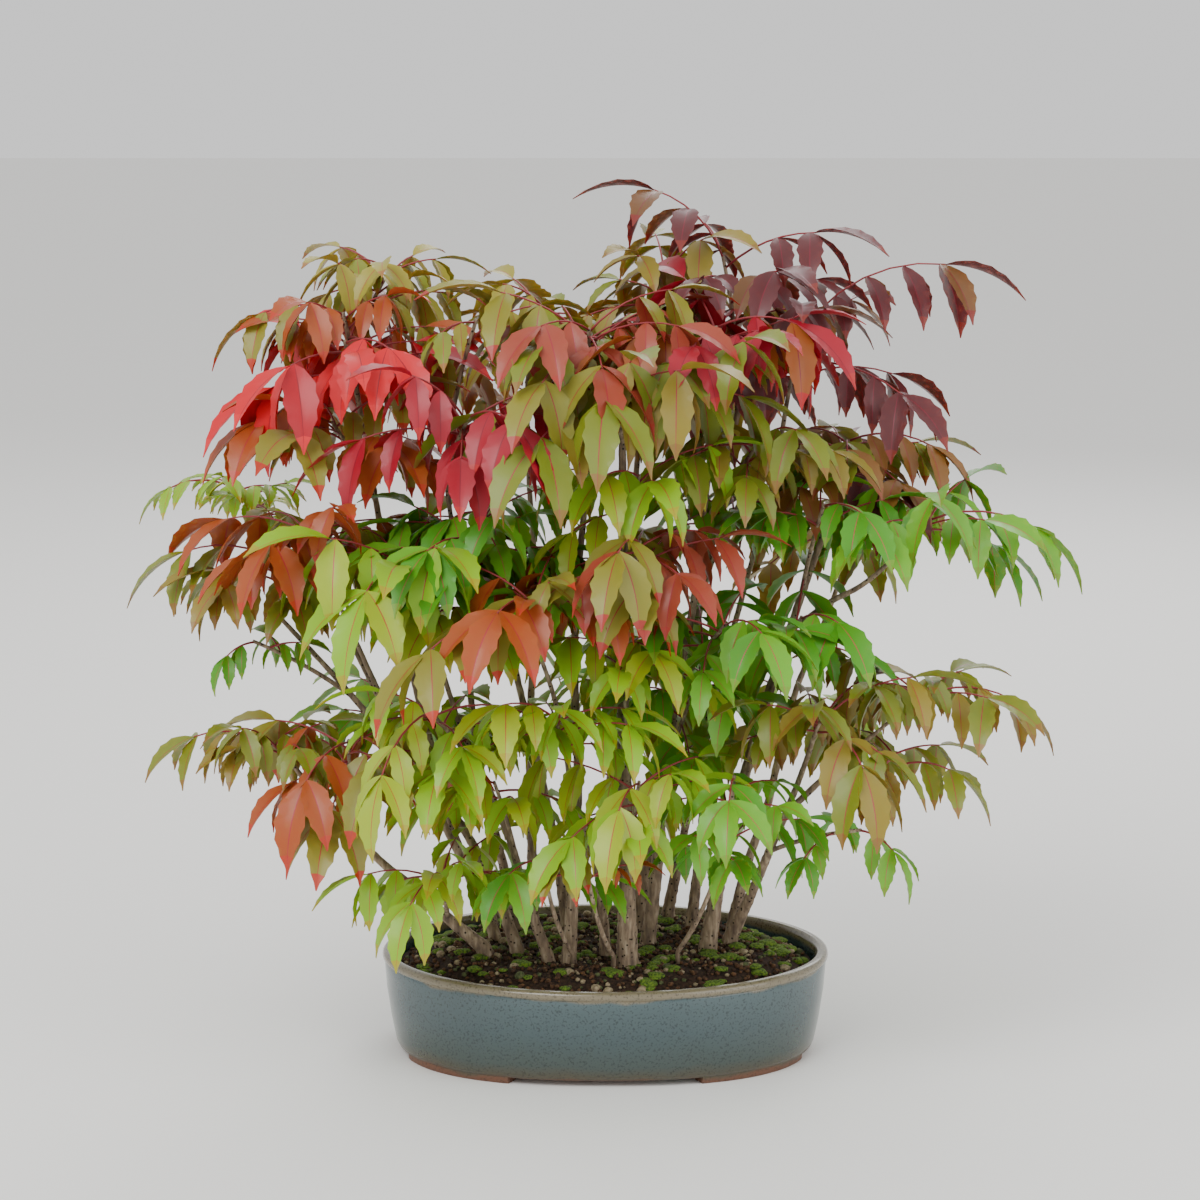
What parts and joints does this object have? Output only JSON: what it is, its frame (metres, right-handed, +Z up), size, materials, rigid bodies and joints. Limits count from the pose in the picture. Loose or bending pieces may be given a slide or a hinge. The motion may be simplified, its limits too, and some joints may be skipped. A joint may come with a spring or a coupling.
{
  "type": "wax tree bonsai in an oval glazed pot",
  "caption": "Clump of slender wax trees in autumn colour, with drooping compound leaves, growing in a shallow oval glazed pot.",
  "frame": {"origin": "middle of the object's footprint, under the pot, on the surface that the pot's feet stand on", "axes": "+X along the pot's length, to the right seen from the front, -Y towards the front, +Z up"},
  "size_m": [0.472, 0.3047, 0.436],
  "materials": {
    "glaze": "glossy blue-grey glaze thinning to bare brown clay at the foot",
    "soil": "damp brown granules with moss and small pebbles",
    "bark": "matt grey-brown bark with dark dots",
    "plum": "satin purple-brown leaves with red ribs",
    "olive": "satin olive green leaves with red ribs",
    "gold": "satin olive gold leaves with red ribs",
    "rust": "satin rusty orange leaves with red ribs",
    "scarlet": "satin scarlet leaves with red ribs",
    "lime": "satin lime green leaves with red ribs",
    "rose": "satin brown rose leaves with red ribs",
    "crimson": "satin crimson leaves with red ribs",
    "bronze": "satin olive bronze leaves with red ribs",
    "green": "satin fresh green leaves with red ribs"
  },
  "bodies": {
    "root": {"pot": "glaze", "soil": "soil", "stem_01": "bark", "stem_02": "bark", "stem_03": "bark", "stem_04": "bark", "stem_05": "bark", "stem_06": "bark", "stem_07": "bark", "stem_08": "bark", "stem_09": "bark", "stem_10": "bark", "stem_11": "bark", "stem_12": "bark", "stem_13": "bark", "stem_14": "bark", "stem_15": "bark", "stem_16": "bark", "stem_17": "bark", "stem_18": "bark", "stem_19": "bark", "bough_left": "bark", "bough_right": "bark", "bough_low_right": "bark", "spray_crest_plum": "plum", "spray_long_plum": "plum", "spray_crest_olive": "olive", "spray_crest_gold": "gold", "spray_gold": "gold", "spray_scarlet": "rust", "spray_scarlet_front": "scarlet", "spray_rust_left": "rust", "spray_fine_left": "lime", "spray_far_left": "olive", "spray_rust_middle": "rust", "spray_lime_left": "lime", "spray_low_left": "olive", "spray_rust_low": "rust", "spray_lime_low": "lime", "spray_rim_lime": "lime", "spray_rose_crown": "rose", "spray_olive_front": "olive", "spray_crimson_right": "crimson", "spray_olive_right": "olive", "spray_bronze_right": "bronze", "spray_green_far_right": "green", "spray_low_right": "olive", "spray_olive_low_right": "olive", "spray_toothed_green": "green", "spray_lime_front": "lime", "spray_rust_front": "rust", "spray_rose_front": "rose", "spray_green_left": "green", "spray_green_right": "green", "spray_maroon": "crimson", "spray_lime_middle": "lime", "spray_back_left": "bronze", "spray_back": "olive", "spray_back_right": "olive", "spray_back_low": "green"}
  },
  "joints": []
}
